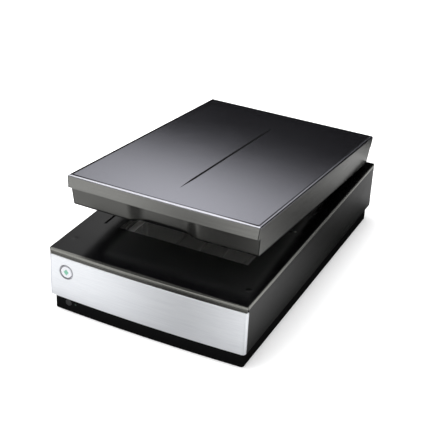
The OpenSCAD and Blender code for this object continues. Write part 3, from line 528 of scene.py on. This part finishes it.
# %% Top panel with its groove
GAP, GROOVE_HALF, GROOVE_TIP = 1.8, 1.9, 40
groove_front, groove_back = COVER_BACK - 401, COVER_BACK - 79
top = loft("cover_panel", [cover_ring(z, SEAM_IN + GAP + inset) for z, inset in
                           [(DECK_Z, 0), (COVER_Z1 - 0.45, 0), (COVER_Z1 - 0.13, 0.13),
                            (COVER_Z1, 0.45)]])
hexagon = [(0, groove_front), (GROOVE_HALF, groove_front + GROOVE_TIP),
           (GROOVE_HALF, groove_back - GROOVE_TIP), (0, groove_back),
           (-GROOVE_HALF, groove_back - GROOVE_TIP), (-GROOVE_HALF, groove_front + GROOVE_TIP)]
cut(top, loft("groove", [[(x, y, z) for x, y in hexagon] for z in (COVER_Z1 - 1.6, COVER_Z1 + 2)]))
smooth(top)
open_up(top)
finish_piece(top, "cover", "cover_top", "cover_top_panel")
floor_of_groove = loft("groove_floor", [
    [(x * 0.97, y, z) for x, y in hexagon] for z in (COVER_Z1 - 1.7, COVER_Z1 - 0.3)])
open_up(floor_of_groove)
finish_piece(floor_of_groove, "cover", "skirt_black")

# %% [markdown]
# ## The silver front
# The front panel is a bowed bar with rounded ends. Its upper and lower edges are rounded too,
# and shine as two thin bright lines. The button sits in a round hole near its left end.

# %% Bowed bars
BODY_W, FRONT_Y, BODY_BOW = 308.0, -251.5, 4.0
PANEL_BACK, TRIM_BACK = -242.0, -244.5
SKIRT_Z, TRIM_Z, BED_Z = 25.5, 92.3, 101.3


def bar_ring(z, width, y_front, y_back, radius, columns=40):
    """Plan of a bar with a bowed front and round front corners, at one height."""
    curve = (width * width / 4 + BODY_BOW ** 2) / (2 * BODY_BOW)
    cx = width / 2 - radius
    cy = y_front + curve - math.sqrt((curve - radius) ** 2 - cx * cx)
    lean = math.asin(cx / (curve - radius))
    corner = [math.radians(180) + (math.radians(90) - lean) * k / 8 for k in range(9)]
    left = [(-cx + radius * math.cos(a), cy + radius * math.sin(a)) for a in corner]
    front = [(curve * math.sin(a), y_front + curve - curve * math.cos(a))
             for a in [lean * (2 * k / columns - 1) for k in range(1, columns)]]
    plan = [(-width / 2, y_back)] + left + front + \
        [(-x, y) for x, y in reversed(left)] + [(width / 2, y_back)]
    return [(x, y, z) for x, y in plan]


def bar(name, profile, width, y_front, y_back, radius):
    """A bowed bar whose front follows a profile of heights and insets."""
    return loft(name, [bar_ring(z, width - 2 * inset, y_front + inset, y_back,
                                max(0.3, radius - inset)) for z, inset in profile])


def round_profile(z0, z1, radius, steps=4):
    """Heights and insets of a face with both its edges rounded."""
    low = [(z0 + radius - radius * math.cos(a), radius - radius * math.sin(a))
           for a in [math.pi / 2 * k / steps for k in range(steps + 1)]]
    return low + [(z0 + z1 - z, inset) for z, inset in reversed(low)]


START_X, START_Z, START_R = -124.6, 69.9, 10.0
start_y = FRONT_Y + bow(START_X, BODY_W, BODY_BOW)


def drum(name, x, z, radius, y0, y1, vertices=64):
    """A cylinder along Y."""
    bpy.ops.object.select_all(action="DESELECT")
    bpy.ops.mesh.primitive_cylinder_add(vertices=vertices, radius=radius * MM,
                                        depth=(y1 - y0) * MM, rotation=(math.pi / 2, 0, 0),
                                        location=(x * MM, (y0 + y1) / 2 * MM, z * MM))
    piece = bpy.context.object
    piece.name = piece.data.name = name
    settle(piece)
    return piece


panel = bar("silver_panel", round_profile(SKIRT_Z, TRIM_Z, 0.9), BODY_W, FRONT_Y, PANEL_BACK, 5)
cut(panel, drum("hole", START_X, START_Z, START_R + 1.6, start_y - 3, start_y + 9))
smooth(panel)
finish_piece(panel, "base", "panel_silver", "front_panel")

# %% [markdown]
# ## The trim strip
# Between the panel and the bed lies a narrow strip with a proud lip above and a lower part
# with a fine line in it.

# %% Trim strip
strip = bar("trim_strip", [
    (TRIM_Z, 1.6), (TRIM_Z, 0.9), (94.2, 0.8), (94.3, 1.6), (94.9, 1.6), (95.0, 0.8),
    (96.8, 0.8), (96.9, 1.4), (97.5, 1.4), (97.6, 0.5), (98.0, 0.2), (100.2, 0.2),
    (100.9, 0.5), (101.2, 1.0), (BED_Z, 1.7)], BODY_W, FRONT_Y, TRIM_BACK, 3)
smooth(strip, 35)
finish_piece(strip, "base", "trim_two_tone", "front_trim")

# %% [markdown]
# ## Buttons
# The start button is a flat white cap with a rounded edge in a grey ring. It is turned on a
# lathe: half a section is spun round the button's own axis.

# %% Turned parts
def lathe(name, section, x, z, steps=64):
    """Spins a section of (radius, y) points in mm round an axis along Y at x, z."""
    bpy.ops.object.select_all(action="DESELECT")
    bpy.ops.mesh.primitive_circle_add(vertices=len(section), radius=MM)
    piece = bpy.context.object
    piece.name = piece.data.name = name
    edit(piece)
    mesh = bmesh.from_edit_mesh(piece.data)
    mesh.verts.ensure_lookup_table()
    for vertex, (radius, y) in zip(mesh.verts, section):
        vertex.co = Vector((x + radius, y, z)) * MM
    bpy.ops.mesh.select_all(action="SELECT")
    bpy.ops.mesh.spin(steps=steps, angle=2 * math.pi, center=Vector((x, 0, z)) * MM,
                      axis=(0, 1, 0))
    bpy.ops.mesh.select_all(action="SELECT")
    bpy.ops.mesh.remove_doubles(threshold=0.02 * MM)
    bpy.ops.mesh.normals_make_consistent(inside=False)
    done()
    smooth(piece, 40)
    return piece


r = START_R
ring = lathe("start_ring", [(r - 0.7, start_y + 2.5), (r - 0.7, start_y + 0.5),
                            (r + 0.5, start_y - 0.5), (r + 1.0, start_y - 0.6),
                            (r + 1.6, start_y), (r + 1.6, start_y + 2.5)], START_X, START_Z)
finish_piece(ring, "base", "ring_grey", "start_button_ring")
r = START_R - 1.0
cap = lathe("start_cap", [(0, start_y + 6), (0, start_y - 0.25), (r - 2.2, start_y - 0.2),
                          (r - 0.8, start_y - 0.05), (r - 0.2, start_y + 0.3),
                          (r, start_y + 0.8), (r, start_y + 2), (3.5, start_y + 2),
                          (3.5, start_y + 6)], START_X, START_Z)
finish_piece(cap, "start_button", "button_white", "start_button")

# %% A plain diamond mark on the start button, a little taller than wide
MARK_TALLER = 1.2
bpy.ops.object.select_all(action="DESELECT")
bpy.ops.mesh.primitive_cylinder_add(vertices=4, radius=4.0 * MM, depth=0.3 * MM,
                                    rotation=(math.pi / 2, 0, 0),
                                    location=(START_X * MM, (start_y - 0.25) * MM, START_Z * MM))
mark = bpy.context.object
mark.name = mark.data.name = "start_mark"
to_centre = Matrix.Translation((0, 0, START_Z * MM))
taller = to_centre @ Matrix.Diagonal((1, 1, MARK_TALLER, 1)) @ to_centre.inverted()
mark.matrix_world = taller @ mark.matrix_world
settle(mark)
soften(mark, 0.08)
finish_piece(mark, "start_button", "pale_green")

# %% [markdown]
# ## Rounded copies of CAD solids
# Where a solid already has the right form, its mesh is copied and merged, its flat regions are
# dissolved into single faces, and its sharp edges are rounded a little, because no moulded
# edge is perfectly sharp and the light shows it.

# %% Copy, merge and round
def rounded_copy(name, node, body, finish, width, angle=32):
    bpy.ops.object.select_all(action="DESELECT")
    piece = bpy.data.objects.new(name, nodes[node].data.copy())
    bpy.context.scene.collection.objects.link(piece)
    piece.data.name = name
    edit(piece)
    bpy.ops.mesh.select_all(action="SELECT")
    bpy.ops.mesh.remove_doubles(threshold=0.005 * MM)
    bpy.ops.mesh.dissolve_limited(angle_limit=math.radians(0.5))
    done()
    soften(piece, width, angle=angle)
    return finish_piece(piece, body, finish, node)


for name, node, body, finish, width in [
        ("bed_plate", "bed_frame", "base", "bed_black", 0.35),
        ("bed_edge", "bed_rim", "base", "rim_black", 0.25),
        ("side_case", "base_case", "base", "case_grey", 1.1),
        ("floor_tray", "base_tray", "base", "skirt_black", 0.5),
        ("white_mat", "document_mat", "document_mat", "mat_white", 0.6),
        ("posts", "hinge_posts", "hinge_posts", "inner_black", 0.4),
        ("leaves", "hinge_leaves", "cover", "inner_black", 0.4),
        ("tub", "carriage_tub", "carriage", "inner_black", 0.5)]:
    rounded_copy(name, node, body, finish, width)

# %% A small steel pin beside the locating hole
bpy.ops.object.select_all(action="DESELECT")
bpy.ops.mesh.primitive_uv_sphere_add(segments=24, ring_count=12, radius=1.5 * MM,
                                     location=(128.5 * MM, -28 * MM, 101.0 * MM))
pin = bpy.context.object
pin.name = pin.data.name = "locating_pin"
pin.scale.z = 0.18
settle(pin)
smooth(pin, 60)
finish_piece(pin, "base", "steel")

# %% A thin black strip on the left edge of the glass
border = block("glass_border", (-104.4, -98), (-148.9, 149.9), (99.91, 99.97))
finish_piece(border, "base", "bed_black")

# %% [markdown]
# ## Table, lights and background
# The set is a pale table in soft light. What the camera and the glossy surfaces see beyond it
# is plain white. The lamps and a softer world give the light. The table glows a little for
# the camera alone, so it reaches white and still keeps the object's shadow.

# %% Table
bpy.ops.object.select_all(action="DESELECT")
bpy.ops.mesh.primitive_plane_add(size=14)
table = bpy.context.object
table.name = "table_top"
settle(table)
TABLE_GLOW = 0.3
paper = Finish("table", (0.93, 0.93, 0.935), 0.9, Emission_Strength=1.0)
seen_straight = paper.node("LightPath", output="Is Camera Ray")
paper.feed(Emission_Color=seen_straight * TABLE_GLOW)
table.data.materials.append(paper.material)
table.visible_glossy = False

# %% World: white for the camera and for reflections, softer as a lamp
world = bpy.data.worlds.new("studio")
bpy.context.scene.world = world
world.use_nodes = True
tree = world.node_tree
tree.nodes.clear()
path = tree.nodes.new("ShaderNodeLightPath")
seen = path.outputs["Is Camera Ray"]
for ray in ("Is Glossy Ray", "Is Transmission Ray"):
    either = tree.nodes.new("ShaderNodeMath")
    either.operation = "MAXIMUM"
    tree.links.new(seen, either.inputs[0])
    tree.links.new(path.outputs[ray], either.inputs[1])
    seen = either.outputs[0]
mixed = tree.nodes.new("ShaderNodeMixShader")
tree.links.new(seen, mixed.inputs[0])
LIGHT_STRENGTH, WHITE_STRENGTH = 0.8, 1.0
for place, strength in enumerate((LIGHT_STRENGTH, WHITE_STRENGTH), start=1):
    shade = tree.nodes.new("ShaderNodeBackground")
    shade.inputs["Color"].default_value = (1, 1, 1, 1)
    shade.inputs["Strength"].default_value = strength
    tree.links.new(shade.outputs[0], mixed.inputs[place])
out = tree.nodes.new("ShaderNodeOutputWorld")
tree.links.new(mixed.outputs[0], out.inputs["Surface"])

# %% Lamps
def softbox(name, location, target, size, power):
    """A square area lamp that looks at a target."""
    bpy.ops.object.light_add(type="AREA", location=location)
    lamp = bpy.context.object
    lamp.name = name
    lamp.data.size = size
    lamp.data.energy = power
    lamp.rotation_euler = (Vector(target) - Vector(location)).to_track_quat("-Z", "Y").to_euler()
    lamp.visible_glossy = False
    return lamp


softbox("key_lamp", (-0.6, -0.3, 2.2), (0, 0, 0.1), 1.5, 60)
softbox("front_lamp", (-0.9, -1.6, 1.0), (0, -0.1, 0.1), 1.0, 6)

# %% [markdown]
# ## Cards for the reflections
# A studio shapes what shiny paint reflects with grey cards outside the picture. Four of them
# stand here, and only reflections see them. The one behind darkens towards the table, so the
# cover's top runs from light at its front to nearly black at its back. The front and left ones
# darken what faces them, and the floor's holds the soft shades on the sides. Their gradients
# were placed for the photograph's view. They are no measurement of its studio.

# %% Grey cards
def card(name, corners, glow):
    """A plane between corners in metres that only reflections see, with a glow over its place."""
    bpy.ops.object.select_all(action="DESELECT")
    bpy.ops.mesh.primitive_plane_add(size=1)
    plane = bpy.context.object
    plane.name = plane.data.name = name
    edit(plane)
    mesh = bmesh.from_edit_mesh(plane.data)
    for vertex, corner in zip(mesh.verts, corners):
        vertex.co = Vector(corner)
    bmesh.update_edit_mesh(plane.data)
    done()
    made = Finish(name, (0, 0, 0), 1.0, Specular_IOR_Level=0.0, Emission_Strength=1.0)
    made.feed(Emission_Color=glow(made, *made.axes()))
    plane.data.materials.append(made.material)
    plane.visible_camera = plane.visible_diffuse = plane.visible_shadow = False
    plane.visible_transmission = plane.visible_volume_scatter = False
    return plane


def spot(made, x, y, place, size, turn=0.0):
    """A soft round spot, 1 in its middle, whose two radii are in metres."""
    c, s = math.cos(math.radians(turn)), math.sin(math.radians(turn))
    dx, dy = x - place[0], y - place[1]
    u, v = (dx * c + dy * s) * (1 / size[0]), (dy * c - dx * s) * (1 / size[1])
    return made.node("Math", {"operation": "EXPONENT"}, {0: (u * u + v * v) * -1})


def back_glow(made, x, y, z):
    """Dark near the table and light above, lightest a little left of the middle."""
    middle = spot(made, x, z, (-0.27, 0.45), (0.28, 3.0))
    table_edge = (1 - made.steps(z, 0.01, 0.05)) * made.steps(x, 0.1, 0.16)
    return made.steps(z, 0.265, 0.425) * (middle * 0.7 + 0.48) + table_edge * 0.4 + 0.012


# Each soft shade on the floor: its place, its two radii in metres, its turn and its depth.
FLOOR_SHADES = [((0.2, 0.17), (0.3, 0.17), 0, 0.86), ((-0.075, -0.54), (0.1, 0.6), -27, 0.92),
                ((0.24, -0.43), (0.03, 0.3), 25, 0.7), ((0.02, -0.39), (0.035, 0.06), 0, 0.5),
                ((0.30, 0.36), (0.09, 0.15), 0, 0.92)]
HALF_WIDTH, HALF_DEPTH = 0.154, 0.2515


def floor_glow(made, x, y, z):
    """The pale table as it is reflected: darker close to the object and in the soft shades."""
    out = x.maths("MAXIMUM", abs(x) - HALF_WIDTH, abs(y) - HALF_DEPTH)
    depth = made.steps(y, -0.35, -0.2) * 0.6 + 0.35
    glow = 1 - depth * (1 - made.steps(out, 0.008, 0.075))
    for place, size, turn, share in FLOOR_SHADES:
        glow = glow * (1 - spot(made, x, y, place, size, turn) * share)
    return glow


def dark_glow(made, x, y, z):
    """A dark card that fades out at its lower and upper edges."""
    return 1 - made.steps(z, 0.24, 0.34) * (1 - made.steps(z, 1.1, 1.5)) * 0.97


card("back_card", [(-2.5, 0.45, 0.002), (2.5, 0.45, 0.002), (-2.5, 0.45, 2), (2.5, 0.45, 2)],
     back_glow)
card("front_card", [(-3, -1.2, 0.2), (3, -1.2, 0.2), (-3, -1.2, 1.6), (3, -1.2, 1.6)], dark_glow)
card("left_card", [(-1.1, -1.2, 0.002), (-1.1, 0.45, 0.002), (-1.1, -1.2, 1.6), (-1.1, 0.45, 1.6)],
     lambda made, x, y, z: made.steps(z, 0.9, 1.5) + 0.03)
card("floor_card", [(-7, -7, 0), (7, -7, 0), (-7, 7, 0), (7, 7, 0)], floor_glow)
